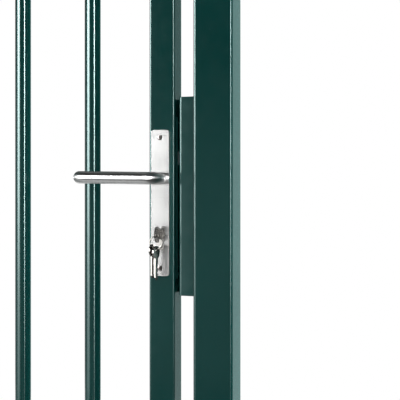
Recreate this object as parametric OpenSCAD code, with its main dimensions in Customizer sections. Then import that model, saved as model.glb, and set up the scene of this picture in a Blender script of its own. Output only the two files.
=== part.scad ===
// Steel garden gate: one leaf of round bars in a square tube frame, hung between two square posts,
// with a mortice lock, a pair of U-shaped levers, a profile cylinder with its keys, and a folded keep.
// The frame's origin is the middle of the lock post's underside. +X runs from the hinge side to the
// lock side, -Y is the side that the leaf opens towards, and +Z is up.

/* [Posts] */
// Width of each square post
post_w = 60; // [50:1:80]
// Wall of the post tube
post_t = 3; // [2:0.5:5]
// Outer corner radius of the post tube
post_corner_r = 4; // [2:0.5:6]
// Rise of the post tubes' top above the leaf's top
post_rise = 40; // [20:5:400]
// Thickness of the post caps
post_cap_t = 4; // [2:0.5:8]

/* [Feet] */
// Width of the square base plate under each post
foot_w = 150; // [140:5:220]
// Thickness of the base plates
foot_t = 10; // [6:1:16]
// Diameter of the anchor holes
anchor_hole_d = 14; // [10:1:18]
// Distance between the anchor holes
anchor_pitch = 110; // [100:5:120]

/* [Leaf] */
// Width of the leaf over its stiles
leaf_w = 1000; // [700:10:1500]
// Height of the leaf over its stiles
leaf_h = 1400; // [1380:5:1420]
// Clear height under the leaf
ground_gap = 60; // [40:5:80]
// Width of the square tube of stiles and rails
frame_w = 40; // [36:1:44]
// Wall of the frame tubes
frame_t = 2; // [1.5:0.5:3]
// Outer corner radius of the frame tubes
frame_corner_r = 3; // [2:0.5:5]
// Diameter of the round bars
bar_d = 25; // [16:1:30]
// Wall of the round bars
bar_t = 1.5; // [1:0.5:3]
// Number of round bars
bar_count = 7; // [4:1:10]
// Thickness of the caps on the stiles
stile_cap_t = 3; // [2:0.5:5]

/* [Hinges] */
// Gap between the hinge post and the leaf
hinge_gap = 50; // [50:1:70]
// Distance of each hinge's middle from the end of its stile
hinge_inset = 150; // [100:5:300]
// Diameter of the hinge pins
pin_d = 12; // [10:1:14]
// Radial clearance of the pins in the hinge eyes
pin_clearance = 0.05; // [0.01:0.01:0.1]
// Outer diameter of the hinge eyes and of the lugs' round ends
eye_d = 26; // [22:1:30]
// Height of the hinge eyes
eye_h = 24; // [18:1:40]
// Thickness of the lugs on the hinge post
lug_t = 10; // [8:1:14]
// Free height between a lug and its eye
eye_lift = 1; // [0.5:0.5:2]

/* [Lock] */
// Height of the lever's spindle above the ground
spindle_z = 1049; // [1000:1:1100]
// Side of the square spindle
spindle_w = 8; // [7:1:9]
// Drop from the spindle to the middle of the cylinder's plug
cylinder_drop = 84; // [78:1:92]
// Height of the latch bolt's middle above the spindle
latch_rise = 31; // [28:1:34]
// Drop from the spindle to the middle of the dead bolt
dead_drop = 123; // [122:1:126]
// Depth of the lock case into the stile
case_depth = 34; // [33:1:34]
// Thickness of the lock case
case_t = 15; // [14:0.5:16]
// Distance of the lock case's top above the latch bolt
case_top_margin = 35; // [20:1:38]
// Distance of the lock case's bottom below the dead bolt
case_bottom_margin = 9; // [4:1:14]
// Width of the lock's face plate
face_w = 18; // [16:1:24]
// Thickness of the lock's face plate
face_t = 2; // [2:0.5:3]
// Height of the lock's face plate
face_h = 247; // [240:1:260]
// Distance of the face plate's top above the spindle
face_above = 94; // [90:1:96]

/* [Bolts] */
// Thickness of the latch bolt
latch_w = 12; // [10:1:12]
// Height of the latch bolt
latch_h = 20; // [16:1:22]
// Length of the latch bolt
latch_len = 34; // [30:1:34]
// Reach of the latch bolt out of the face plate
latch_throw = 13; // [10:1:14]
// Thickness of the dead bolt
dead_w = 10; // [8:1:12]
// Height of the dead bolt
dead_h = 24; // [20:1:24]
// Length of the dead bolt
dead_len = 33; // [30:1:34]
// Clearance of the bolts in the case and the face plate, on each side
bolt_clearance = 0.5; // [0.3:0.1:0.8]

/* [Backplates] */
// Width of the long lever plates
plate_w = 28; // [26:1:34]
// Height of the long lever plates
plate_h = 220; // [215:1:240]
// Thickness of the long lever plates
plate_t = 8; // [5:0.5:10]
// Distance of the plates' top above the spindle
plate_above = 73; // [68:1:76]
// Corner radius of the plates
plate_corner_r = 4; // [2:0.5:8]
// Distance of the plate screws from the plates' ends
plate_screw_inset = 11.5; // [9:0.5:16]
// Diameter of the plate screws' holes
plate_screw_d = 5; // [4:0.5:6]
// Diameter of the plate screws' countersinks
plate_sink_d = 8.4; // [7:0.2:9]

/* [Levers] */
// Diameter of the lever's round rod
lever_d = 18.5; // [16:1:22]
// Distance from the spindle's axis to the far side of the lever's end
lever_reach = 128; // [110:1:135]
// Distance from the plate's face to the middle of the grip
lever_standoff = 42; // [38:1:50]
// Bend radius along the middle of the rod
lever_bend_r = 18; // [14:1:20]
// Upward tilt of the grips at rest
lever_tilt = 0.8; // [0:0.1:2]
// Free space between the plate and the lever's neck
neck_clearance = 0.4; // [0.3:0.1:1]
// Distance of the returned end from the leaf's front
return_gap = 8; // [6:1:12]

/* [Cylinder and keys] */
// Diameter of the round part of the profile cylinder
cylinder_d = 17; // [17:0.5:18]
// Width of the profile cylinder's tail
cylinder_tail_w = 10; // [9:0.5:11]
// Whole height of the profile cylinder
cylinder_h = 33; // [31:1:33]
// Reach of the profile cylinder past the plates
cylinder_proud = 2; // [1:0.5:4]
// Diameter of the cylinder's plug
plug_d = 10; // [9:0.5:12]
// Thickness of the keys
key_t = 2.4; // [2:0.1:2.6]
// Diameter of the inserted key's bow
key_bow_d = 24; // [22:1:26]
// Height of a key's blade
key_blade_w = 7.6; // [7:0.1:8]
// Distance between the cuts of a hanging key
key_cut_pitch = 4; // [3.5:0.1:5]
// Outer diameter of the key ring
ring_d = 21; // [18:1:28]
// Wire diameter of the key ring
ring_wire_d = 2; // [1.6:0.1:2.4]
// Diameter of a hanging key's bow
spare_bow_d = 19; // [17:1:20]
// Whole length of a hanging key
spare_len = 51; // [48:1:56]
// Turn of the hanging keys on the ring
spare_turn = 13; // [0:1:20]
// Distance between the two hanging keys
spare_spacing = 5.6; // [5:0.1:8]

/* [Keep] */
// Gap between the lock stile and the lock post
lock_gap = 32; // [30:1:36]
// Height of the folded keep
keep_h = 300; // [290:5:320]
// Distance of the keep's top above the spindle
keep_above = 123; // [116:1:130]
// Thickness of the keep's sheet
keep_t = 2.5; // [2:0.5:3]
// Gap between the stile and the keep's wall
keep_gap = 7; // [7:0.5:9]
// Setback of the keep's bend from the leaf's front
keep_setback = 0; // [0:0.5:4]
// Slant of the keep's lead-in panel
keep_slant = 3; // [0:1:10]
// Outer radius of the keep's bend
keep_bend_r = 4; // [3:0.5:5]
// Gap between the leaf's back and the keep's stop
stop_gap = 5; // [5:0.5:8]
// Reach of the stop behind the stile
stop_reach = 22; // [15:1:30]
// Clearance of the stops above and below the rear lever plate
stop_margin = 8; // [6:1:10]
// Clearance of the bolts in the keep's slots, on each side
slot_clearance = 2; // [1.5:0.5:3]

/* [Hidden] */
$fn = 64;
eps = 0.5;
half_post = post_w / 2;
half_frame = frame_w / 2;

// Places along X
leaf_right = -half_post - lock_gap;
leaf_left = leaf_right - leaf_w;
lock_stile_x = leaf_right - half_frame;
hinge_stile_x = leaf_left + half_frame;
pivot_x = leaf_left - hinge_gap / 2;
hinge_post_x = leaf_left - hinge_gap - half_post;
bar_pitch = (leaf_w - frame_w) / (bar_count + 1);

// Places along Z
leaf_bottom = ground_gap;
leaf_top = leaf_bottom + leaf_h;
post_top = leaf_top + post_rise;
lower_hinge_z = leaf_bottom + hinge_inset;
upper_hinge_z = leaf_top - hinge_inset;
cylinder_z = spindle_z - cylinder_drop;
latch_z = spindle_z + latch_rise;
dead_z = spindle_z - dead_drop;
plate_z = spindle_z + plate_above - plate_h / 2;
plate_screw_pitch = plate_h - 2 * plate_screw_inset;
face_z = spindle_z + face_above - face_h / 2;
case_top = latch_z + latch_h / 2 + case_top_margin;
case_bottom = dead_z - dead_h / 2 - case_bottom_margin;
case_h = case_top - case_bottom;
case_z = (case_top + case_bottom) / 2;
keep_z = spindle_z + keep_above - keep_h / 2;

// Places along Y, measured from the middle of the leaf
plate_y = half_frame + plate_t;
grip_y = plate_y + lever_standoff;
cylinder_y = plate_y + cylinder_proud;

// Lock stile openings
spindle_hole_d = spindle_w * 1.55;
case_slot_clearance = 0.5;
profile_clearance = 0.5;
face_x = leaf_right + face_t;
case_back_x = leaf_right - case_depth;
case_wall = 1.5;

// Keys
keyway_clearance = 0.1;
plug_clearance = 0.05;
plug_len = cylinder_y - 3;
plug_dish = 0.7;
plug_dish_d = plug_d - 1.5;
key_bow_y = cylinder_y + key_bow_d / 2;
key_hole_d = 7;
key_hole_y = cylinder_y + 18;
key_blade_len = 25;
ring_r = (ring_d - ring_wire_d) / 2;
ring_seat = 0.2;
ring_z = cylinder_z - key_hole_d / 2 + ring_seat + ring_wire_d / 2 - ring_r;
spare_hole_d = 5;
spare_hole_inset = 6;
spare_seat = 0.3;
spare_x = [lock_stile_x + 0.4, lock_stile_x + 0.4 - spare_spacing];
spare_tip = 2;
// Depths of the cuts in the two hanging keys' blades, from the tip to the bow
spare_cuts = [[1.2, 2.4, 0.8, 2, 1.4], [2.2, 1, 1.8, 0.8, 2.4]];

// Shared shapes

// A rectangle with round corners, about its middle
module rounded_rect(w, h, r) {
    square([w - 2 * r, h], center = true);
    square([w, h - 2 * r], center = true);
    for (x = [-1, 1], y = [-1, 1]) {
        translate([x * (w / 2 - r), y * (h / 2 - r)]) circle(r = r);
    }
}

// A square tube that stands on its origin
module square_tube(w, t, r, h) {
    linear_extrude(h) difference() {
        rounded_rect(w, w, r);
        rounded_rect(w - 2 * t, w - 2 * t, max(r - t, 1));
    }
}

// Turns what is drawn flat, so that it stands in the XZ plane and its thickness runs towards -Y
module face_front() {
    rotate([90, 0, 0]) children();
}

// The outline of a profile cylinder, about the middle of its round part
module cylinder_profile(grow = 0) {
    circle(d = cylinder_d + 2 * grow);
    tail_h = cylinder_h - cylinder_d / 2 + grow;
    translate([-cylinder_tail_w / 2 - grow, -tail_h]) {
        square([cylinder_tail_w + 2 * grow, tail_h - cylinder_tail_w / 2]);
    }
    translate([-cylinder_tail_w / 2 - grow, -cylinder_tail_w]) {
        square([cylinder_tail_w + 2 * grow, cylinder_tail_w]);
    }
}

// A prism of the profile cylinder through the whole leaf, from y = -half to y = half
module cylinder_prism(half, grow = 0) {
    translate([lock_stile_x, half, cylinder_z]) face_front() linear_extrude(2 * half) cylinder_profile(grow);
}

// A round hole along Y through the leaf
module cross_hole(z, d) {
    translate([lock_stile_x, plate_y + eps, z]) face_front() cylinder(d = d, h = 2 * (plate_y + eps));
}

// A box given by its middle in X, Y and Z
module block(middle, size) {
    translate(middle) cube(size, center = true);
}

// Posts

module post(x) {
    color("darkslategray") translate([x, 0, foot_t]) {
        square_tube(post_w, post_t, post_corner_r, post_top - foot_t);
    }
}

module post_foot(x) {
    color("darkslategray") translate([x, 0, 0]) linear_extrude(foot_t) difference() {
        rounded_rect(foot_w, foot_w, post_corner_r * 2);
        for (sx = [-1, 1], sy = [-1, 1]) {
            translate([sx, sy] * anchor_pitch / 2) circle(d = anchor_hole_d);
        }
    }
}

module post_cap(x) {
    color("darkslategray") translate([x, 0, post_top]) linear_extrude(post_cap_t) {
        rounded_rect(post_w, post_w, post_corner_r);
    }
}

module lock_post() { post(0); }
module lock_post_foot() { post_foot(0); }
module lock_post_cap() { post_cap(0); }
module hinge_post() { post(hinge_post_x); }
module hinge_post_foot() { post_foot(hinge_post_x); }
module hinge_post_cap() { post_cap(hinge_post_x); }

// Keep

wall_x = leaf_right + keep_gap;
bend_y = -half_frame + keep_setback;
stop_y = half_frame + stop_gap;

// Points on an arc about c, from angle a0 to a1
function arc(c, r, a0, a1, steps) = [
    for (i = [0 : steps]) let (a = a0 + (a1 - a0) * i / steps) [c[0] + r * cos(a), c[1] + r * sin(a)]
];

// The folded sheet: a slanted lead-in from the post, a bend, and a wall beside the leaf
module keep_sheet() {
    bend_steps = 6;
    panel_dir = -90 - keep_slant;
    centre = [wall_x + keep_bend_r, bend_y + keep_bend_r];
    outer = arc(centre, keep_bend_r, 180, 270 - keep_slant, bend_steps);
    inner = arc(centre, keep_bend_r - keep_t, 270 - keep_slant, 180, bend_steps);
    end_of = function (r) let (
        start = [centre[0] + r * cos(panel_dir), centre[1] + r * sin(panel_dir)],
        reach = -half_post - start[0]
    ) [-half_post, start[1] - reach * tan(keep_slant)];
    polygon(concat(
        [[wall_x, stop_y]], outer,
        [end_of(keep_bend_r), end_of(keep_bend_r - keep_t)],
        inner, [[wall_x + keep_t, stop_y]]
    ));
}

module keep_slot(z, w, h) {
    block([wall_x, 0, z], [4 * keep_t, w + 2 * slot_clearance, h + 2 * slot_clearance]);
}

module keep() {
    color("darkslategray") difference() {
        translate([0, 0, keep_z - keep_h / 2]) linear_extrude(keep_h) keep_sheet();
        keep_slot(latch_z, latch_w, latch_h);
        keep_slot(dead_z, dead_w, dead_h);
    }
}

// A stretch of the stop's plate from z = low to z = high, from x = left to the post
module stop_stretch(left, low, high) {
    translate([left, stop_y, low]) cube([-half_post - left, keep_t, high - low]);
}

// The plate behind the leaf: it closes the keep, and its two ends reach behind the stile
module keep_stop() {
    keep_bottom = keep_z - keep_h / 2;
    keep_top = keep_z + keep_h / 2;
    end_left = leaf_right - stop_reach;
    middle_left = min(wall_x, lock_stile_x + plate_w / 2 + stop_gap);
    color("darkslategray") {
        stop_stretch(middle_left, keep_bottom, keep_top);
        stop_stretch(end_left, keep_bottom, plate_z - plate_h / 2 - stop_margin);
        stop_stretch(end_left, plate_z + plate_h / 2 + stop_margin, keep_top);
    }
}

// Hinges

module hinge_lug(z) {
    color("darkslategray") translate([pivot_x, 0, z - eye_h / 2 - eye_lift - lug_t]) linear_extrude(lug_t) {
        difference() {
            union() {
                circle(d = eye_d);
                translate([-hinge_gap / 2, -eye_d / 2]) square([hinge_gap / 2, eye_d]);
            }
            circle(d = pin_d);
        }
    }
}

module hinge_pin(z) {
    pin_bottom = z - eye_h / 2 - eye_lift - lug_t;
    pin_h = lug_t + eye_lift + eye_h + pin_d / 3;
    color("silver") translate([pivot_x, 0, pin_bottom]) cylinder(d = pin_d, h = pin_h);
}

module hinge_eye(z) {
    neck_w = eye_d * 0.6;
    color("darkslategray") translate([pivot_x, 0, z - eye_h / 2]) linear_extrude(eye_h) {
        difference() {
            union() {
                circle(d = eye_d);
                translate([0, -neck_w / 2]) square([hinge_gap / 2, neck_w]);
            }
            circle(d = pin_d + 2 * pin_clearance);
        }
    }
}

module lower_hinge_lug() { hinge_lug(lower_hinge_z); }
module upper_hinge_lug() { hinge_lug(upper_hinge_z); }
module lower_hinge_pin() { hinge_pin(lower_hinge_z); }
module upper_hinge_pin() { hinge_pin(upper_hinge_z); }
module lower_hinge_eye() { hinge_eye(lower_hinge_z); }
module upper_hinge_eye() { hinge_eye(upper_hinge_z); }

// Leaf frame

module stile(x) {
    translate([x, 0, leaf_bottom]) square_tube(frame_w, frame_t, frame_corner_r, leaf_h);
}

module stile_cap(x) {
    color("darkslategray") translate([x, 0, leaf_top]) linear_extrude(stile_cap_t) {
        rounded_rect(frame_w, frame_w, frame_corner_r);
    }
}

module rail(z) {
    color("darkslategray") translate([leaf_left + frame_w, 0, z]) rotate([90, 0, 90]) {
        square_tube(frame_w, frame_t, frame_corner_r, leaf_w - 2 * frame_w);
    }
}

module bar(i) {
    bar_bottom = leaf_bottom + frame_w;
    color("darkslategray") translate([lock_stile_x - i * bar_pitch, 0, bar_bottom]) {
        linear_extrude(leaf_h - 2 * frame_w) difference() {
            circle(d = bar_d);
            circle(d = bar_d - 2 * bar_t);
        }
    }
}

module lock_stile() {
    slot_w = case_t + 2 * case_slot_clearance;
    slot_h = case_h + 2 * case_slot_clearance;
    color("darkslategray") difference() {
        stile(lock_stile_x);
        block([leaf_right, 0, case_z], [4 * frame_t, slot_w, slot_h]);
        cross_hole(spindle_z, spindle_hole_d);
        cylinder_prism(half_frame + eps, profile_clearance);
    }
}

module hinge_stile() { color("darkslategray") stile(hinge_stile_x); }
module hinge_stile_cap() { stile_cap(hinge_stile_x); }
module lock_stile_cap() { stile_cap(lock_stile_x); }
module top_rail() { rail(leaf_top - half_frame); }
module bottom_rail() { rail(leaf_bottom + half_frame); }
module bar_1() { bar(1); }
module bar_2() { bar(2); }
module bar_3() { bar(3); }
module bar_4() { bar(4); }
module bar_5() { bar(5); }
module bar_6() { bar(6); }
module bar_7() { bar(7); }

// Lock

// The channel of a bolt, from behind the case's front to past the face plate
module bolt_channel(z, w, h) {
    channel_back = case_back_x + case_wall;
    channel_len = face_x + eps - channel_back;
    block(
        [channel_back + channel_len / 2, 0, z],
        [channel_len, w + 2 * bolt_clearance, h + 2 * bolt_clearance]
    );
}

module lock_case() {
    color("lightslategray") difference() {
        block([(leaf_right + case_back_x) / 2, 0, case_z], [case_depth, case_t, case_h]);
        bolt_channel(latch_z, latch_w, latch_h);
        bolt_channel(dead_z, dead_w, dead_h);
        cross_hole(spindle_z, spindle_hole_d);
        cylinder_prism(half_frame, profile_clearance);
    }
}

module face_plate() {
    color("silver") difference() {
        block([leaf_right + face_t / 2, 0, face_z], [face_t, face_w, face_h]);
        bolt_channel(latch_z, latch_w, latch_h);
        bolt_channel(dead_z, dead_w, dead_h);
    }
}

// A long plate with its outer face at y = -plate_y
module lever_plate() {
    color("silver") translate([lock_stile_x, -half_frame, 0]) difference() {
        translate([0, 0, plate_z]) face_front() linear_extrude(plate_t) difference() {
            rounded_rect(plate_w, plate_h, plate_corner_r);
            for (s = [-1, 1]) {
                translate([0, s * plate_screw_pitch / 2]) circle(d = plate_screw_d);
            }
            translate([0, spindle_z - plate_z]) circle(d = spindle_hole_d);
            translate([0, cylinder_z - plate_z]) cylinder_profile(profile_clearance);
        }
        for (s = [-1, 1]) {
            translate([0, -plate_t, plate_z + s * plate_screw_pitch / 2]) countersink();
        }
    }
}

// The cone that a countersunk screw's head sits in, from the face inwards along +Y
module countersink() {
    sink_depth = (plate_sink_d - plate_screw_d) / 2;
    rotate([-90, 0, 0]) cylinder(d1 = plate_sink_d, d2 = plate_screw_d, h = sink_depth);
}

module front_plate() { lever_plate(); }
module rear_plate() { mirror([0, 1, 0]) lever_plate(); }

module cylinder_body() {
    bore_d = plug_d + 2 * plug_clearance;
    bore_len = plug_len + plug_clearance;
    color("silver") difference() {
        cylinder_prism(cylinder_y);
        for (s = [-1, 1]) {
            translate([lock_stile_x, s * (cylinder_y + eps), cylinder_z]) rotate([s * 90, 0, 0]) {
                cylinder(d = bore_d, h = bore_len + eps);
            }
        }
    }
}

// A plug in the -Y end of the cylinder, with its keyway and a dish turned into its face
module plug() {
    keyway_h = key_blade_w + 2 * keyway_clearance;
    keyway_w = key_t + 2 * keyway_clearance;
    color("silver") difference() {
        translate([lock_stile_x, -cylinder_y + plug_len, cylinder_z]) face_front() {
            cylinder(d = plug_d, h = plug_len);
        }
        block([lock_stile_x, -cylinder_y, cylinder_z], [keyway_w, 2 * key_blade_len + 1, keyway_h]);
        translate([lock_stile_x, -cylinder_y + plug_dish, cylinder_z]) face_front() {
            cylinder(d1 = plug_dish_d - 4 * plug_dish, d2 = plug_dish_d + 4 * plug_dish, h = 2 * plug_dish);
        }
    }
}

module front_plug() { plug(); }
module rear_plug() { mirror([0, 1, 0]) plug(); }

module latch_bolt() {
    tip = face_x + latch_throw;
    tail = tip - latch_len;
    color("silver") translate([0, 0, latch_z - latch_h / 2]) linear_extrude(latch_h) polygon([
        [tail, -latch_w / 2], [tip, -latch_w / 2], [tip, -latch_w / 4],
        [tip - latch_throw + 1, latch_w / 2], [tail, latch_w / 2]
    ]);
}

module dead_bolt() {
    dead_tip = face_x - bolt_clearance;
    color("silver") block([dead_tip - dead_len / 2, 0, dead_z], [dead_len, dead_w, dead_h]);
}

// Levers

// A quarter bend of the rod that starts at the origin along -Y and ends along -X
module rod_bend() {
    translate([-lever_bend_r, 0, 0]) rotate_extrude(angle = -90) {
        translate([lever_bend_r, 0]) circle(d = lever_d);
    }
}

// The lever on the -Y side: a neck, a grip towards the hinge side, and an end returned to the leaf
module lever() {
    neck_len = lever_standoff - lever_bend_r - neck_clearance;
    end_x = -lever_reach + lever_d / 2;
    grip_len = -end_x - 2 * lever_bend_r;
    return_len = grip_y - lever_bend_r - half_frame - return_gap;
    color("gainsboro") translate([lock_stile_x, 0, spindle_z]) rotate([0, lever_tilt, 0]) {
        translate([0, -plate_y - neck_clearance, 0]) face_front() cylinder(d = lever_d, h = neck_len);
        translate([0, -grip_y + lever_bend_r, 0]) rod_bend();
        translate([-lever_bend_r, -grip_y, 0]) rotate([0, -90, 0]) cylinder(d = lever_d, h = grip_len);
        translate([end_x, -grip_y + lever_bend_r, 0]) mirror([1, 0, 0]) rod_bend();
        translate([end_x, -half_frame - return_gap, 0]) face_front() cylinder(d = lever_d, h = return_len);
    }
}

module front_lever() { lever(); }
module rear_lever() { mirror([0, 1, 0]) lever(); }

module spindle() {
    spindle_half = plate_y + neck_clearance;
    color("silver") block([lock_stile_x, 0, spindle_z], [spindle_w, 2 * spindle_half, spindle_w]);
}

// Keys

module key() {
    color("lightgray") translate([lock_stile_x - key_t / 2, 0, cylinder_z]) rotate([90, 0, 90]) {
        linear_extrude(key_t) difference() {
            union() {
                translate([-key_bow_y, 0]) circle(d = key_bow_d);
                translate([-key_bow_y, -key_blade_w / 2])
                    square([key_bow_d / 2 + key_blade_len, key_blade_w]);
            }
            translate([-key_hole_y, 0]) circle(d = key_hole_d);
        }
    }
}

module key_ring() {
    color("silver") translate([lock_stile_x, -key_hole_y, ring_z]) rotate([90, 0, 0]) {
        rotate_extrude() translate([ring_r, 0]) circle(d = ring_wire_d);
    }
}

// The blade of a hanging key, pointing down from its bow's middle, with its tip cut to a point
module cut_blade(blade_len, cuts) {
    half = key_blade_w / 2;
    difference() {
        polygon([
            [-half, 0], [-half, -blade_len + 2 * spare_tip], [0, -blade_len],
            [half, -blade_len + 2 * spare_tip], [half, 0]
        ]);
        for (i = [0 : len(cuts) - 1]) {
            translate([half, -blade_len + 2 * spare_tip + (i + 0.7) * key_cut_pitch]) {
                polygon([[-cuts[i], 0], [1, -cuts[i] - 1], [1, cuts[i] + 1]]);
            }
        }
    }
}

// A key that hangs from the ring's wire at x
module spare_key(x, cuts) {
    far_side = abs(x - lock_stile_x) + key_t / 2;
    wire_drop = sqrt(ring_r * ring_r - far_side * far_side);
    wire_top = ring_z - wire_drop + ring_wire_d / 2 * ring_r / wire_drop;
    hole_z = wire_top + spare_seat - spare_hole_d / 2;
    top_z = hole_z + spare_hole_inset;
    bow_z = top_z - spare_bow_d / 2;
    color("lightgray") translate([x, -key_hole_y, 0]) rotate([90, 0, 90 - spare_turn]) {
        linear_extrude(key_t, center = true) difference() {
            union() {
                translate([0, bow_z]) circle(d = spare_bow_d);
                translate([0, bow_z]) cut_blade(spare_len - spare_bow_d / 2, cuts);
            }
            translate([0, hole_z]) circle(d = spare_hole_d);
        }
    }
}

module spare_key_1() { spare_key(spare_x[0], spare_cuts[0]); }
module spare_key_2() { spare_key(spare_x[1], spare_cuts[1]); }

lock_post();
lock_post_foot();
lock_post_cap();
keep();
keep_stop();
hinge_post();
hinge_post_foot();
hinge_post_cap();
lower_hinge_lug();
lower_hinge_pin();
upper_hinge_lug();
upper_hinge_pin();
hinge_stile();
hinge_stile_cap();
lock_stile();
lock_stile_cap();
top_rail();
bottom_rail();
bar_1();
bar_2();
bar_3();
bar_4();
bar_5();
bar_6();
bar_7();
lower_hinge_eye();
upper_hinge_eye();
lock_case();
face_plate();
front_plate();
rear_plate();
cylinder_body();
rear_plug();
front_lever();
rear_lever();
spindle();
latch_bolt();
dead_bolt();
front_plug();
key();
key_ring();
spare_key_1();
spare_key_2();
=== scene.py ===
"""The looks of a steel garden gate: finishes, fastenings, welds, studio and camera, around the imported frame.

Lengths are metres in the frame's axes: the front faces -y, the hinges are on the -x side, and z is up.
"""

import math
import random

import bmesh
import bpy
from mathutils import Matrix, Vector


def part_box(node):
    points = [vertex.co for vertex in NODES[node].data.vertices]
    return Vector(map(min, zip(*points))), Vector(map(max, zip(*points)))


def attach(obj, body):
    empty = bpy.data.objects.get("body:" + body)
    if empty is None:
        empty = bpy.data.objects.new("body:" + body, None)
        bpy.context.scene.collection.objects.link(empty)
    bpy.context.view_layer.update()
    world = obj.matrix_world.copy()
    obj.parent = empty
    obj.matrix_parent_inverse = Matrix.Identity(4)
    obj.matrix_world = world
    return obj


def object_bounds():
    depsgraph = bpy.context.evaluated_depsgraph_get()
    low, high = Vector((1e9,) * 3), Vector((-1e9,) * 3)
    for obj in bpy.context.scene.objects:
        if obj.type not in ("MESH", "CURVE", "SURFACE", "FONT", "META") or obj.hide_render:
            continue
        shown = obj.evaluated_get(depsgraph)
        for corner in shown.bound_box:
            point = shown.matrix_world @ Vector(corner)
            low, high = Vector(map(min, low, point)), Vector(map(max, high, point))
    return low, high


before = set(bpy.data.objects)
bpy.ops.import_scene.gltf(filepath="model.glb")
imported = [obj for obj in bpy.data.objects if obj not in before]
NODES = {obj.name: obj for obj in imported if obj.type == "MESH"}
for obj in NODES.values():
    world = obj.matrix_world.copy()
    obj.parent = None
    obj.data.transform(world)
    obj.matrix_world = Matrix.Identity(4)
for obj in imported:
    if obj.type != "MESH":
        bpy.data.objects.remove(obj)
cad_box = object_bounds()
MM = 0.001


# ---------------------------------------------------------------- places, from the frame

RIGHT, BACK, UP = Vector((1, 0, 0)), Vector((0, 1, 0)), Vector((0, 0, 1))


def low_corner(node):
    return Vector(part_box(node)[0])


def high_corner(node):
    return Vector(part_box(node)[1])


def middle(node):
    """The middle of a node's box."""
    return (low_corner(node) + high_corner(node)) / 2


def facing(turn):
    """A level direction turn degrees round from the gate's front, towards its lock side."""
    angle = math.radians(turn)
    return Vector((math.sin(angle), -math.cos(angle), 0))


STILE_LOW, STILE_HIGH = low_corner("lock_stile"), high_corner("lock_stile")
SPINDLE = middle("spindle")


# ---------------------------------------------------------------- camera

VIEW_TURN = 15.15                    # degrees round from the gate's front, towards its lock side
VIEW_DISTANCE = 1.320
VIEW_SIDE = 0.0403                   # how far the view's middle is past the stile's side
VIEW_DROP = 0.004                    # how far the camera is below the spindle
VIEW_LENS = 79.3                     # millimetres, as is the sensor
VIEW_SENSOR = 36
VIEW_SHIFT = -0.0475                 # the picture's middle is a little below the horizon
VIEW_NEAREST, VIEW_FARTHEST = 0.01, 100


def make_camera():
    """A level camera in front of the lock."""
    camera = bpy.data.objects.new("camera", bpy.data.cameras.new("camera"))
    bpy.context.scene.collection.objects.link(camera)
    aim = Vector((STILE_HIGH.x + VIEW_SIDE, STILE_LOW.y, SPINDLE.z - VIEW_DROP))
    camera.location = aim + facing(VIEW_TURN) * VIEW_DISTANCE
    camera.rotation_euler = (math.pi / 2, 0, math.radians(VIEW_TURN))
    camera.data.lens = VIEW_LENS
    camera.data.sensor_width = VIEW_SENSOR
    camera.data.shift_y = VIEW_SHIFT
    camera.data.clip_start = VIEW_NEAREST
    camera.data.clip_end = VIEW_FARTHEST
    bpy.context.scene.camera = camera


# ---------------------------------------------------------------- node trees

MIX_FACTOR, MIX_FIRST, MIX_SECOND, MIX_RESULT = 0, 6, 7, 2      # a Mix node's sockets for colours
WHITE = (1, 1, 1, 1)


def shade(red, green, blue):
    """A colour given in display values from 0 to 255, as linear RGBA."""
    def linear(value):
        value /= 255
        return value / 12.92 if value <= 0.04045 else ((value + 0.055) / 1.055) ** 2.4
    return (linear(red), linear(green), linear(blue), 1)


def shaded(tone, share=1.0):
    """A tone of three display values, darkened to a share of itself."""
    return shade(*[value * share for value in tone])


class Tree:
    """A short way to build a node tree.

    A source is a node, for its first output, or a (node, output) pair, or a plain value.
    """

    def __init__(self, tree):
        self.tree = tree

    def add(self, kind, **values):
        """Adds a node. Each value goes to the input of its name, or else to the node's own setting."""
        node = self.tree.nodes.new(kind)
        for key, value in values.items():
            if key in node.inputs:
                node.inputs[key].default_value = value
            else:
                setattr(node, key, value)
        return node

    def join(self, source, target, into):
        """Feeds an input of the target from a source."""
        if isinstance(source, bpy.types.Node):
            source = (source, 0)
        if isinstance(source, tuple) and isinstance(source[0], bpy.types.Node):
            self.tree.links.new(source[0].outputs[source[1]], target.inputs[into])
        else:
            target.inputs[into].default_value = source

    def maths(self, operation, *sources):
        made = self.add("ShaderNodeMath", operation=operation)
        for into, source in enumerate(sources):
            self.join(source, made, into)
        return made

    def blend(self, source, low, high, at_low, at_high):
        """Goes smoothly from the value at_low to at_high while the source goes from low to high."""
        made = self.add("ShaderNodeMapRange", interpolation_type="SMOOTHSTEP")
        for name, value in (("From Min", low), ("From Max", high), ("To Min", at_low), ("To Max", at_high)):
            made.inputs[name].default_value = value
        self.join(source, made, "Value")
        return made

    def ramp(self, source, stops):
        """Maps a source through a colour ramp; stops are (position, value or colour) pairs."""
        made = self.add("ShaderNodeValToRGB")
        elements = made.color_ramp.elements
        while len(elements) < len(stops):
            elements.new(0.5)
        for element, (position, colour) in zip(elements, stops):
            element.position = position
            element.color = colour if isinstance(colour, tuple) else (colour, colour, colour, 1)
        self.join(source, made, "Fac")
        return made

    def mix(self, factor, first, second):
        """Mixes two colours."""
        made = self.add("ShaderNodeMix", data_type="RGBA")
        self.join(factor, made, MIX_FACTOR)
        self.join(first, made, MIX_FIRST)
        self.join(second, made, MIX_SECOND)
        return (made, MIX_RESULT)


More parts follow.
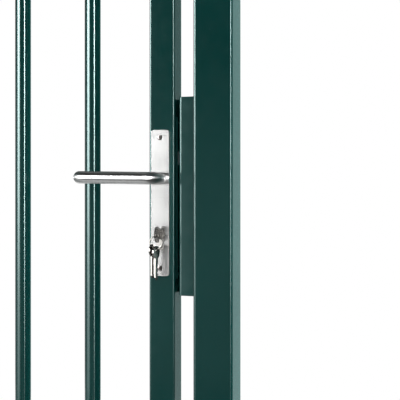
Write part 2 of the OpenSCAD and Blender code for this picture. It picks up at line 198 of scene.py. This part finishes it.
class Material(Tree):
    """A material's node tree, with one Principled shader."""

    def __init__(self, name):
        self.material = bpy.data.materials.new(name)
        self.material.use_nodes = True
        super().__init__(self.material.node_tree)
        self.tree.nodes.clear()
        self.output = self.add("ShaderNodeOutputMaterial")
        self.shader = self.add("ShaderNodeBsdfPrincipled")
        self.join(self.shader, self.output, "Surface")

    def dress(self, **sources):
        """Feeds or sets the shader's inputs; an underscore in a name stands for a space."""
        for name, source in sources.items():
            self.join(source, self.shader, name.replace("_", " "))

    def noise(self, scale, detail=4, roughness=0.55, stretch=(1, 1, 1)):
        """Noise in object coordinates, with its features drawn out along the axes where stretch is small."""
        mapping = self.add("ShaderNodeMapping")
        mapping.inputs["Scale"].default_value = stretch
        self.join((self.add("ShaderNodeTexCoord"), "Object"), mapping, "Vector")
        made = self.add("ShaderNodeTexNoise", Scale=scale, Detail=detail, Roughness=roughness)
        self.join(mapping, made, "Vector")
        return made

    def bump(self, source, strength, distance, under=None):
        """A bump from a height, on top of another bump if there is one."""
        made = self.add("ShaderNodeBump", Strength=strength, Distance=distance)
        self.join(source, made, "Height")
        if under:
            self.join(under, made, "Normal")
        return made


# ---------------------------------------------------------------- materials

def powder_coat():
    """Dark green powder coat: a fine orange peel, slight cloudiness, and thin pale flecks."""
    m = Material("green_powder_coat")
    tone = m.ramp(m.noise(scale=9, detail=5), [(0.3, shade(7, 57, 54)), (0.7, shade(10, 62, 59))])
    flecks = m.ramp(m.noise(scale=160, detail=6, roughness=0.7), [(0.62, 0.0), (0.78, 0.16)])
    soft = m.bump(m.noise(scale=70, detail=2), strength=0.025, distance=0.0006)
    m.dress(
        Base_Color=m.mix(flecks, tone, shade(70, 92, 88)),
        Roughness=m.ramp(m.noise(scale=55, detail=3), [(0.35, 0.12), (0.7, 0.16)]),
        Normal=m.bump(m.noise(scale=620, detail=2), strength=0.04, distance=0.0002, under=soft),
        IOR=1.5,
        Specular_Tint=(0.74, 1.0, 0.98, 1),
    )
    return m.material


def satin_metal(name, tone, roughness, grain_stretch, around, turn=0.0):
    """Brushed satin metal: fine lines, faint smudges, and a gloss that spreads across the lines.

    The gloss follows the tangent around an axis, turned by a share of a full turn.
    """
    m = Material(name)
    lines = m.noise(scale=900, detail=3, roughness=0.6, stretch=grain_stretch)
    smudge = m.noise(scale=28, detail=5)
    grain = m.ramp(lines, [(0.3, shaded(tone, 0.95)), (0.7, shaded(tone))])
    veil = m.ramp(smudge, [(0.45, 0.0), (0.75, 0.1)])
    m.dress(
        Metallic=1.0,
        Anisotropic=0.9,
        Anisotropic_Rotation=turn,
        Tangent=m.add("ShaderNodeTangent", direction_type="RADIAL", axis=around),
        Base_Color=m.mix(veil, grain, shaded(tone, 0.85)),
        Roughness=m.ramp(smudge, [(0.3, roughness * 0.93), (0.75, roughness * 1.1)]),
        Normal=m.bump(lines, strength=0.05, distance=0.0001),
    )
    return m.material


def polished_metal(name, tone, roughness):
    """Smooth metal with soft stains and fine scuffs."""
    m = Material(name)
    stain = m.noise(scale=120, detail=5)
    scuff = m.noise(scale=700, detail=4, stretch=(1, 1, 3))
    m.dress(
        Metallic=1.0,
        Base_Color=m.ramp(stain, [(0.35, shaded(tone, 0.88)), (0.65, shaded(tone))]),
        Roughness=m.ramp(stain, [(0.3, roughness * 0.7), (0.75, roughness * 1.5)]),
        Normal=m.bump(scuff, strength=0.04, distance=0.0001),
    )
    return m.material


UPRIGHT_GRAIN = (1, 1, 0.03)
SHORT_UPRIGHT_GRAIN = (1, 1, 0.2)
ROD_GRAIN = (1, 0.05, 0.05)


MATERIALS = {
    "coat": powder_coat(),
    "plate": satin_metal("satin_steel_plate", (226, 226, 225), 0.15, UPRIGHT_GRAIN, "Z"),
    "lever": satin_metal("satin_steel_lever", (206, 206, 206), 0.3, ROD_GRAIN, "X", turn=0.25),
    "zinc": polished_metal("zinc_plated_steel", (178, 182, 186), 0.32),
    "case": polished_metal("case_steel", (120, 124, 130), 0.45),
    "nickel": satin_metal("nickel_plate", (196, 194, 190), 0.2, SHORT_UPRIGHT_GRAIN, "Z"),
    "key": polished_metal("key_plate", (128, 126, 122), 0.14),
    "screw": polished_metal("screw_steel", (116, 112, 110), 0.3),
}
FINISHES = {
    "plate": ["front_plate", "rear_plate"],
    "lever": ["front_lever", "rear_lever"],
    "zinc": ["lower_hinge_pin", "upper_hinge_pin", "latch_bolt", "dead_bolt", "spindle"],
    "case": ["lock_case"],
    "nickel": ["cylinder_body", "front_plug", "rear_plug"],
    "key": ["key", "key_ring", "spare_key_1", "spare_key_2"],
}


def finish_nodes():
    """Gives every CAD node its finish; what isn't named in FINISHES is powder coated."""
    special = {node: finish for finish, nodes in FINISHES.items() for node in nodes}
    for name, node in NODES.items():
        node.data.materials.clear()
        node.data.materials.append(MATERIALS[special.get(name, "coat")])


# ---------------------------------------------------------------- mesh helpers

def object_of(name, bm):
    """Links an object made of a mesh."""
    mesh = bpy.data.meshes.new(name)
    bm.to_mesh(mesh)
    bm.free()
    made = bpy.data.objects.new(name, mesh)
    bpy.context.scene.collection.objects.link(made)
    return made


def add_piece(name, bm, finish, body, smooth=38):
    """Makes a piece of a mesh, dresses it and lets it ride on a body.

    Edges of more than smooth degrees stay sharp.
    """
    bmesh.ops.recalc_face_normals(bm, faces=bm.faces)
    piece = object_of(name, bm)
    piece.data.shade_smooth()
    piece.data.set_sharp_from_angle(angle=math.radians(smooth))
    piece.data.materials.append(MATERIALS[finish])
    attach(piece, body)


def skin(bm, rings, closed_path=False):
    """Faces between rings of equally many points; an open path gets faces at its two ends."""
    loops = [[bm.verts.new(point) for point in ring] for ring in rings]
    count = len(loops[0])
    for i in range(len(loops) if closed_path else len(loops) - 1):
        here, there = loops[i], loops[(i + 1) % len(loops)]
        for j in range(count):
            k = (j + 1) % count
            bm.faces.new((here[j], here[k], there[k], there[j]))
    if not closed_path:
        bm.faces.new(loops[0])
        bm.faces.new(list(reversed(loops[-1])))


def standing_on(place, axis):
    """The matrix that stands a shape drawn along z on place, along axis."""
    matrix = Vector(axis).to_track_quat("Z", "Y").to_matrix().to_4x4()
    matrix.translation = place
    return matrix


def rings_in(matrix, profile, steps):
    """Rings of points round the z axis of a matrix; profile is (radius, height) pairs."""
    angles = [2 * math.pi * k / steps for k in range(steps)]
    return [
        [matrix @ Vector((radius * math.cos(a), radius * math.sin(a), height)) for a in angles]
        for radius, height in profile
    ]


def turned(profile, place, axis, steps):
    """The mesh of a solid of revolution; profile is (radius, height) pairs along axis from place."""
    bm = bmesh.new()
    skin(bm, rings_in(standing_on(place, axis), profile, steps))
    return bm


def washer(radius, hole, thick, edge, place, steps=40):
    """The mesh of a flat washer with eased edges, lying on place."""
    profile = [
        (hole, 0), (radius - edge, 0), (radius, edge), (radius, thick - edge),
        (radius - edge, thick), (hole, thick),
    ]
    bm = bmesh.new()
    skin(bm, rings_in(standing_on(place, UP), profile, steps), closed_path=True)
    return bm


def rounded_outline(width, depth, radius, steps=5):
    """Points of a rounded rectangle about the origin, each with its outward direction."""
    points = []
    for side_x, side_y, start in ((1, 1, 0), (-1, 1, 90), (-1, -1, 180), (1, -1, 270)):
        centre = Vector((side_x * (width / 2 - radius), side_y * (depth / 2 - radius)))
        for k in range(steps + 1):
            a = math.radians(start + 90 * k / steps)
            out = Vector((math.cos(a), math.sin(a)))
            points.append((centre + out * radius, out))
    return points


def resample(points, step):
    """Points about step apart along a closed path of (point, outward) pairs."""
    result = []
    for (here, out), (there, out_there) in zip(points, points[1:] + points[:1]):
        count = max(1, round((there - here).length / step))
        for k in range(count):
            t = k / count
            result.append((here.lerp(there, t), out.lerp(out_there, t).normalized()))
    return result


# ---------------------------------------------------------------- welds

BEAD_RIPPLE = 3.5 * MM               # length of a ripple along the bead
BEAD_RIPPLE_DEPTH = 0.14             # a ripple's share of the bead's leg
BEAD_SWAY = 0.06                     # how far the leg swells and shrinks, as a share of it
BEAD_SWAY_RATE = 190                 # radians a metre
BEAD_ROOT = 0.6 * MM                 # how deep the bead's root lies in the joint
BEAD_FLATNESS = 0.22                 # how much the middle of the bead's face is drawn in
BEAD_STEPS = 5                       # across the bead
BEAD_SMOOTH = 60

BAR_LEG = 2.6 * MM
BAR_STEPS = 96
RAIL_LEG = 2.8 * MM
RAIL_CORNER = 3.0 * MM
RAIL_SLACK = 1.0 * MM                # by how much a rail's bead is narrower than the rail
POST_LEG = 5.0 * MM
POST_CORNER = 4.0 * MM
TUBE_STEP = 0.9 * MM


def add_bead(name, path, rise, leg, body, seed):
    """A weld bead with ripples; path is (point, outward) pairs, and rise is the way the bead climbs."""
    wobble = random.Random(seed).uniform(0, 6)
    rings = []
    run = 0.0
    previous = path[0][0]
    for point, out in path:
        run += (point - previous).length
        previous = point
        ripple = abs(math.sin(math.pi * run / BEAD_RIPPLE))
        sway = math.sin(run * BEAD_SWAY_RATE + wobble)
        reach = leg * (1 - BEAD_RIPPLE_DEPTH + BEAD_RIPPLE_DEPTH * ripple + BEAD_SWAY * sway)
        ring = [point - out * BEAD_ROOT - rise * BEAD_ROOT]
        for k in range(BEAD_STEPS + 1):
            a = math.radians(90 * k / BEAD_STEPS)
            bulge = 1 - BEAD_FLATNESS * math.sin(2 * a)
            ring.append(point + (out * math.cos(a) + rise * math.sin(a)) * reach * bulge)
        rings.append(ring)
    bm = bmesh.new()
    skin(bm, rings, closed_path=True)
    add_piece(name, bm, "coat", body, smooth=BEAD_SMOOTH)


def weld_at_tube(name, centre, axes, size, corner, leg, body, seed):
    """A bead all round a tube's end; axes are the tube's two sides and the way the bead climbs."""
    across, along, rise = axes
    outline = resample(rounded_outline(size[0], size[1], corner), TUBE_STEP)
    path = [
        (centre + across * p.x + along * p.y, (across * o.x + along * o.y).normalized())
        for p, o in outline
    ]
    add_bead(name, path, rise, leg, body, seed)


def weld_at_bar(name, centre, radius, rise, seed):
    """A bead all round an upright bar's end."""
    angles = [2 * math.pi * k / BAR_STEPS for k in range(BAR_STEPS)]
    outs = [Vector((math.cos(a), math.sin(a), 0)) for a in angles]
    add_bead(name, [(centre + out * radius, out) for out in outs], rise, BAR_LEG, "leaf", seed)


BARS = 7
HIGH_BAR_SEED = 20                   # added to a bar's number for its upper weld
RAIL_SEEDS = {"top_rail": 8, "bottom_rail": 11}      # of the hinge end; the lock end takes the next
POST_SEEDS = {"lock_post": 9, "hinge_post": 10}


def make_welds():
    """Beads at both ends of the bars and the rails, and round the foot of each post."""
    rail_top = high_corner("bottom_rail").z
    rail_under = low_corner("top_rail").z
    for i in range(1, BARS + 1):
        low, high, mid = low_corner("bar_%d" % i), high_corner("bar_%d" % i), middle("bar_%d" % i)
        radius = (high.x - low.x) / 2
        weld_at_bar("weld_low_%d" % i, Vector((mid.x, mid.y, rail_top)), radius, UP, i)
        weld_at_bar("weld_high_%d" % i, Vector((mid.x, mid.y, rail_under)), radius, -UP, HIGH_BAR_SEED + i)
    for rail, seed in RAIL_SEEDS.items():
        low, high, mid = low_corner(rail), high_corner(rail), middle(rail)
        size = (high.y - low.y - RAIL_SLACK, high.z - low.z - RAIL_SLACK)
        for end, x, rise, own_seed in (("lock", high.x, -RIGHT, seed + 1), ("hinge", low.x, RIGHT, seed)):
            weld_at_tube("weld_%s_%s" % (rail, end), Vector((x, mid.y, mid.z)), (BACK, UP, rise),
                         size, RAIL_CORNER, RAIL_LEG, "leaf", own_seed)
    for post, seed in POST_SEEDS.items():
        low, high, mid = low_corner(post), high_corner(post), middle(post)
        foot = Vector((mid.x, mid.y, high_corner(post + "_foot").z))
        weld_at_tube("weld_%s_foot" % post, foot, (RIGHT, BACK, UP),
                     (high.x - low.x, high.y - low.y), POST_CORNER, POST_LEG, "posts", seed)


# ---------------------------------------------------------------- screws

PLATE_SCREW_INSET = 11.5 * MM        # the plates' holes, from their ends
PLATE_SCREW_RADIUS = 4.0 * MM
FACE_SCREW_INSET = 7.0 * MM          # the face plate's screws, from its ends
FACE_SCREW_RADIUS = 3.4 * MM
SCREW_RISE = 0.6 * MM
SCREW_SINK = 0.42                    # the countersunk cone's depth, as a share of the head's radius
SCREW_SHANK = 1.2 * MM
SCREW_RIM = 0.05 * MM                # how far the head's rim lies under the plate's face
SCREW_FLAT = 0.06                    # the dome's flat middle, as a share of the head's radius
DOME_STEP = 12                       # degrees
RECESS_SPAN = 1.15                   # the cross's span, as a share of the head's radius
RECESS_DEPTH = 1.0 * MM              # below the plate's face
RECESS_ABOVE = 2.0 * MM              # how far the cutter stands out of the head
RECESS_SLOT = 0.24                   # a slot's width, as a share of the span
RECESS_TURN = 0.4                    # radians


def cross_recess(place, axis, span, depth):
    """The mesh of the tapered cross that is cut into a screw's head at place."""
    bm = bmesh.new()
    for turn in (RECESS_TURN, RECESS_TURN + math.pi / 2):
        spin = standing_on(place, axis) @ Matrix.Rotation(turn, 4, "Z")
        rings = []
        for level, grow in ((-depth, 0.55), (0.0, 1.0), (RECESS_ABOVE, 1.2)):
            w, t = span * grow, span * RECESS_SLOT * grow
            corners = ((-w, -t), (w, -t), (w, t), (-w, t))
            rings.append([spin @ Vector((x / 2, y / 2, level)) for x, y in corners])
        skin(bm, rings)
    return bm


def scratch_object(bm):
    """A short-lived object of a mesh, for a boolean."""
    bmesh.ops.recalc_face_normals(bm, faces=bm.faces)
    return object_of("scratch", bm)


def add_screw(name, place, axis, radius):
    """A raised countersunk screw with a cross recess; axis points out of the plate's face at place."""
    sink = radius * SCREW_SINK
    profile = [(radius - sink, -sink - SCREW_SHANK), (radius - sink, -sink), (radius, -SCREW_RIM)]
    for degrees in range(DOME_STEP, 90, DOME_STEP):
        a = math.radians(degrees)
        profile.append((radius * math.cos(a), SCREW_RISE * math.sin(a)))
    profile.append((radius * SCREW_FLAT, SCREW_RISE))
    blank = scratch_object(turned(profile, place, axis, steps=48))
    top = place + Vector(axis) * SCREW_RISE
    cutter = scratch_object(cross_recess(top, axis, radius * RECESS_SPAN, SCREW_RISE + RECESS_DEPTH))
    cut = blank.modifiers.new("recess", "BOOLEAN")
    cut.operation = "DIFFERENCE"
    cut.solver = "EXACT"
    cut.use_self = True
    cut.object = cutter
    graph = bpy.context.evaluated_depsgraph_get()
    finished = bmesh.new()
    finished.from_mesh(blank.evaluated_get(graph).to_mesh())
    for scratch in (blank, cutter):
        bpy.data.objects.remove(scratch)
    add_piece(name, finished, "screw", "leaf", smooth=32)


SCREWED = (                          # plate, the way its face looks, its screws' inset and radius
    ("front_plate", (0, -1, 0), PLATE_SCREW_INSET, PLATE_SCREW_RADIUS),
    ("rear_plate", (0, 1, 0), PLATE_SCREW_INSET, PLATE_SCREW_RADIUS),
    ("face_plate", (1, 0, 0), FACE_SCREW_INSET, FACE_SCREW_RADIUS),
)


def make_screws():
    """Two screws in each lever plate, in the CAD's own holes, and two in the face plate's ends."""
    for node, axis, inset, radius in SCREWED:
        low, high, mid = low_corner(node), high_corner(node), middle(node)
        reach = (high - low) / 2 * Vector(axis)
        for label, z in (("top", high.z - inset), ("low", low.z + inset)):
            place = Vector((mid.x, mid.y, z)) + reach
            add_screw("screw_%s_%s" % (node, label), place, axis, radius)


# ---------------------------------------------------------------- anchors and hinge washers

CORNERS = ((-1, -1), (1, -1), (1, 1), (-1, 1))
ANCHOR_PITCH = 110 * MM              # between the holes of a base plate
ANCHOR_WASHER = {"radius": 12 * MM, "hole": 6.8 * MM, "thick": 2.5 * MM, "edge": 0.3 * MM}
NUT_ACROSS = 19 * MM
NUT_THICK = 9.8 * MM
NUT_BORE = 5.8 * MM
NUT_CHAMFER = 0.09                   # the chamfer's height, as a share of the thickness
NUT_CHAMFERED = 0.955                # the radius at the chamfer's end, as a share of the corner's
STUD_RADIUS = 6.0 * MM
STUD_CORE = 5.2 * MM
STUD_TIP = 4.6 * MM
STUD_FOOT = -9.9 * MM                # these three are from the base plate's top
THREAD_START = -9.0 * MM
THREAD_END = 20.5 * MM
STUD_TIP_RISE = 0.6 * MM             # from the end of the last thread
THREAD_PITCH = 1.75 * MM
THREAD_FALL = 0.88 * MM              # from a thread's crest to the groove above it

HINGE_WASHER = {"radius": 11.5 * MM, "hole": 6.15 * MM, "edge": 0.2 * MM}
HINGE_WASHER_PLAY = 0.05 * MM        # above and below the washer
HINGE_GAP_LEAST = 0.2 * MM           # a smaller gap has no washer


def hexagon_nut():
    """The mesh of a hexagon nut with chamfered corners, standing on the origin."""
    corner = NUT_ACROSS / math.sqrt(3)
    chamfer = NUT_THICK * NUT_CHAMFER
    profile = [
        (corner * NUT_CHAMFERED, 0), (corner, chamfer), (corner, NUT_THICK - chamfer),
        (corner * NUT_CHAMFERED, NUT_THICK), (NUT_BORE, NUT_THICK), (NUT_BORE, 0),
    ]
    bm = bmesh.new()
    skin(bm, rings_in(Matrix.Identity(4), profile, steps=6), closed_path=True)
    return bm


def threaded_stud(place):
    """The mesh of a stud that comes up through place."""
    profile = [(STUD_CORE, STUD_FOOT)]
    z = THREAD_START
    while z < THREAD_END:
        profile += [(STUD_RADIUS, z), (STUD_CORE, z + THREAD_FALL)]
        z += THREAD_PITCH
    profile.append((STUD_TIP, z + STUD_TIP_RISE))
    return turned(profile, place, UP, steps=28)


def make_anchors():
    """A stud, washer and nut in each hole of the two base plates."""
    rng = random.Random(5)
    for foot in ("lock_post_foot", "hinge_post_foot"):
        mid, top = middle(foot), high_corner(foot).z
        for i, (side_x, side_y) in enumerate(CORNERS):
            place = Vector((mid.x + side_x * ANCHOR_PITCH / 2, mid.y + side_y * ANCHOR_PITCH / 2, top))
            add_piece("washer_%s_%d" % (foot, i), washer(place=place, **ANCHOR_WASHER), "zinc", "posts")
            nut = hexagon_nut()
            turn = Matrix.Rotation(rng.uniform(0, 1), 3, "Z")
            bmesh.ops.rotate(nut, cent=(0, 0, 0), matrix=turn, verts=nut.verts)
            bmesh.ops.translate(nut, vec=place + UP * ANCHOR_WASHER["thick"], verts=nut.verts)
            add_piece("nut_%s_%d" % (foot, i), nut, "zinc", "posts", smooth=20)
            add_piece("stud_%s_%d" % (foot, i), threaded_stud(place), "zinc", "posts", smooth=60)


def make_hinge_washers():
    """A thin washer in the gap under each hinge eye."""
    for side in ("lower", "upper"):
        lug_top = high_corner(side + "_hinge_lug").z
        gap = low_corner(side + "_hinge_eye").z - lug_top
        if gap < HINGE_GAP_LEAST:
            continue
        pin = middle(side + "_hinge_pin")
        place = Vector((pin.x, pin.y, lug_top + HINGE_WASHER_PLAY))
        ring = washer(place=place, thick=gap - 2 * HINGE_WASHER_PLAY, **HINGE_WASHER)
        add_piece(side + "_hinge_washer", ring, "zinc", "leaf")


# ---------------------------------------------------------------- edges

EASED = {                            # the width of the rounded edges
    "front_plate": 1.2 * MM, "rear_plate": 1.2 * MM, "face_plate": 0.4 * MM, "keep": 0.6 * MM,
    "lock_post_foot": 1.2 * MM, "hinge_post_foot": 1.2 * MM,
    "lock_post_cap": 0.8 * MM, "hinge_post_cap": 0.8 * MM,
    "lock_stile_cap": 0.8 * MM, "hinge_stile_cap": 0.8 * MM,
    "lower_hinge_lug": 0.8 * MM, "upper_hinge_lug": 0.8 * MM,
    "key": 0.3 * MM, "spare_key_1": 0.2 * MM, "spare_key_2": 0.2 * MM,
}
EASED_ANGLE = 40                     # degrees; blunter edges stay as they are
EASED_STEPS = 3
SAME_PLACE = 1e-6                    # vertices closer than this are one


def ease_edges():
    """Small rounded edges on the plates, caps, lugs and keys."""
    for name, width in EASED.items():
        node = NODES[name]
        is_key = name in FINISHES["key"]
        weld = node.modifiers.new("weld", "WELD")
        weld.merge_threshold = SAME_PLACE
        bevel = node.modifiers.new("edges", "BEVEL")
        bevel.width = width
        bevel.segments = EASED_STEPS
        bevel.limit_method = "ANGLE"
        bevel.angle_limit = math.radians(EASED_ANGLE)
        bevel.use_clamp_overlap = True
        bevel.harden_normals = not is_key
        if is_key:
            level = node.modifiers.new("level", "WEIGHTED_NORMAL")
            level.weight = 80


# ---------------------------------------------------------------- studio

GLOW_AROUND = (0.62, 0.62, 0.62, 1)  # what lights the matt side of things; the rest is for gloss only
GLOW_BEHIND = (0.5, 0.72, 0.7, 1)    # what the sides' gloss shows of the garden behind the gate
GLOW_BELOW = 0.3
GLOW_LEFT = 0.4
GLOW_OVERHEAD = 0.3

FLOOR_RADIUS = 2.9
FLOOR_FADE = (1.2, 2.8)              # where the floor starts and ends to fade
CARD_LEVEL = 4 * MM

LAMP_AIM = STILE_LOW.x - 0.15        # the lamps face this place on the leaf
# A lamp's profile is (height, radiance) pairs from its lower edge to its upper.
KEY_PROFILE = [
    (0.05, 2.3), (0.32, 3.4), (0.53, 5), (0.74, 8.6), (0.95, 14), (1.2, 18.8), (1.42, 22.5), (2.15, 36),
]
KEY_EDGE_PROFILE = [(0.05, 2.0), (0.6, 3.2), (1.0, 2.2), (2.15, 1.2)]
STRIP_PROFILE = [
    (0.16, 0.3), (0.34, 5), (0.59, 18), (0.77, 36), (0.96, 52), (1.2, 68), (1.69, 104), (2.1, 130),
]


def soft_box(name, turn, distance, width, profile, for_gloss):
    """An upright lamp that faces the leaf from turn degrees round, for the gloss or for the matt colour."""
    bottom, top = profile[0][0], profile[-1][0]
    peak = max(radiance for height, radiance in profile)
    lamp = bpy.data.lights.new(name, "AREA")
    lamp.shape = "RECTANGLE"
    lamp.size, lamp.size_y = width, top - bottom
    lamp.energy = peak * math.pi * width * (top - bottom)
    lamp.use_nodes = True
    tree = Tree(lamp.node_tree)
    split = tree.add("ShaderNodeSeparateXYZ")
    tree.join((tree.add("ShaderNodeNewGeometry"), "Parametric"), split, 0)
    stops = [((height - bottom) / (top - bottom), radiance / peak) for height, radiance in profile]
    emission = next(node for node in lamp.node_tree.nodes if node.type == "EMISSION")
    tree.join(tree.ramp((split, "Y"), stops), emission, "Strength")
    box = bpy.data.objects.new(name, lamp)
    bpy.context.scene.collection.objects.link(box)
    aim = Vector((LAMP_AIM, 0, (bottom + top) / 2))
    box.location = aim + facing(turn) * distance
    box.rotation_euler = (aim - box.location).to_track_quat("-Z", "Y").to_euler()
    box.visible_camera = False
    box.visible_diffuse = not for_gloss
    box.visible_glossy = for_gloss


def make_world():
    """White to the camera; for gloss, bright behind the gate, dim below, far left and above, else dark."""
    world = bpy.data.worlds.new("studio")
    bpy.context.scene.world = world
    world.use_nodes = True
    world.node_tree.nodes.clear()
    sky = Tree(world.node_tree)
    split = sky.add("ShaderNodeSeparateXYZ")
    sky.join((sky.add("ShaderNodeTexCoord"), "Generated"), split, 0)
    right, back, up = (split, "X"), (split, "Y"), (split, "Z")

    back_half = sky.blend(back, 0.0, 0.35, 0.0, 1.0)
    level = sky.blend(up, 0.35, 0.6, 1.0, 0.0)
    straight = sky.blend(sky.maths("ABSOLUTE", right), 0.17, 0.38, 1.0, 0.0)
    behind = sky.maths("MULTIPLY", sky.maths("MULTIPLY", back_half, level), straight)

    below = sky.blend(up, -0.04, 0.16, GLOW_BELOW, 0.0)
    not_right = sky.blend(right, 0.3, 0.6, 1.0, 0.0)
    far_left = sky.blend(right, -0.9, -0.75, GLOW_LEFT, 0.0)
    overhead = sky.blend(up, 0.93, 0.995, 0.0, 1.0)
    high_up = sky.blend(up, 0.45, 0.75, 0.0, 1.0)
    above = sky.maths("MAXIMUM", overhead, sky.maths("MULTIPLY", back_half, high_up))
    above = sky.maths("MULTIPLY", above, GLOW_OVERHEAD)
    around = sky.maths("ADD", sky.maths("MULTIPLY", below, not_right), far_left)
    around = sky.maths("ADD", around, above)

    path = sky.add("ShaderNodeLightPath")
    gloss = sky.mix(behind, around, GLOW_BEHIND)
    light = sky.mix((path, "Is Glossy Ray"), GLOW_AROUND, gloss)
    seen = sky.maths("MAXIMUM", (path, "Is Camera Ray"), (path, "Is Transmission Ray"))
    background = sky.add("ShaderNodeBackground")
    sky.join(sky.mix(seen, light, WHITE), background, "Color")
    sky.join(background, sky.add("ShaderNodeOutputWorld"), 0)


def make_floor():
    """A pale disc whose rim fades into the white around it."""
    m = Material("studio_floor")
    tones = [(0.3, shade(236, 236, 236)), (0.7, shade(240, 240, 240))]
    m.dress(Roughness=0.9, Base_Color=m.ramp(m.noise(scale=3.0, detail=3), tones))
    path = m.add("ShaderNodeLightPath")
    seen = m.maths("MAXIMUM", (path, "Is Camera Ray"), (path, "Is Glossy Ray"))
    length = m.add("ShaderNodeVectorMath", operation="LENGTH")
    m.join((m.add("ShaderNodeTexCoord"), "Object"), length, 0)
    rim = m.blend((length, "Value"), *FLOOR_FADE, 0.0, 1.0)
    cover = m.add("ShaderNodeMixShader")
    m.join(m.maths("MULTIPLY", rim, seen), cover, 0)
    m.join(m.shader, cover, 1)
    m.join(m.add("ShaderNodeEmission", Color=WHITE), cover, 2)
    m.join(cover, m.output, "Surface")

    bm = bmesh.new()
    bmesh.ops.create_circle(bm, cap_ends=True, radius=FLOOR_RADIUS, segments=128)
    floor = object_of("studio_floor", bm)
    floor.data.materials.append(m.material)
    low, high = cad_box
    floor.location = ((low[0] + high[0]) / 2, 0, 0)


def floor_card(name, low, high, tone):
    """A card on the floor that only gloss sees, as a studio keeps a shiny object's surroundings dark."""
    m = Material(name)
    m.dress(Base_Color=shade(tone, tone, tone), Roughness=1.0)
    bm = bmesh.new()
    corners = ((low[0], low[1]), (high[0], low[1]), (high[0], high[1]), (low[0], high[1]))
    bm.faces.new([bm.verts.new((x, y, CARD_LEVEL)) for x, y in corners])
    card = object_of(name, bm)
    card.data.materials.append(m.material)
    card.visible_camera = False
    card.visible_diffuse = False
    card.visible_transmission = False
    card.visible_shadow = False


def make_studio():
    """The world, the floor, three lamps for the gloss, and three for the matt colour."""
    make_world()
    make_floor()
    floor_card("dark_card", (0.3, -1.6), (2.6, 2.0), tone=13)
    floor_card("dim_card", (-2.6, -3.0), (0.3, -0.9), tone=110)
    soft_box("key_gloss", -44, 2.5, 1.53, KEY_PROFILE, for_gloss=True)
    soft_box("key_edge", -22, 2.5, 0.25, KEY_EDGE_PROFILE, for_gloss=True)
    soft_box("strip_gloss", 46, 1.8, 0.16, STRIP_PROFILE, for_gloss=True)
    soft_box("side_soft", 97, 2.6, 0.9, [(0.2, 6), (2.2, 6)], for_gloss=False)
    soft_box("front_soft", 14, 3.0, 1.6, [(0.4, 1.2), (2.6, 1.2)], for_gloss=False)
    soft_box("back_soft", 150, 2.6, 0.9, [(0.2, 10), (2.2, 10)], for_gloss=False)


def main():
    make_camera()
    finish_nodes()
    ease_edges()
    make_welds()
    make_screws()
    make_anchors()
    make_hinge_washers()
    make_studio()
    bpy.context.scene.view_settings.view_transform = "Standard"


main()
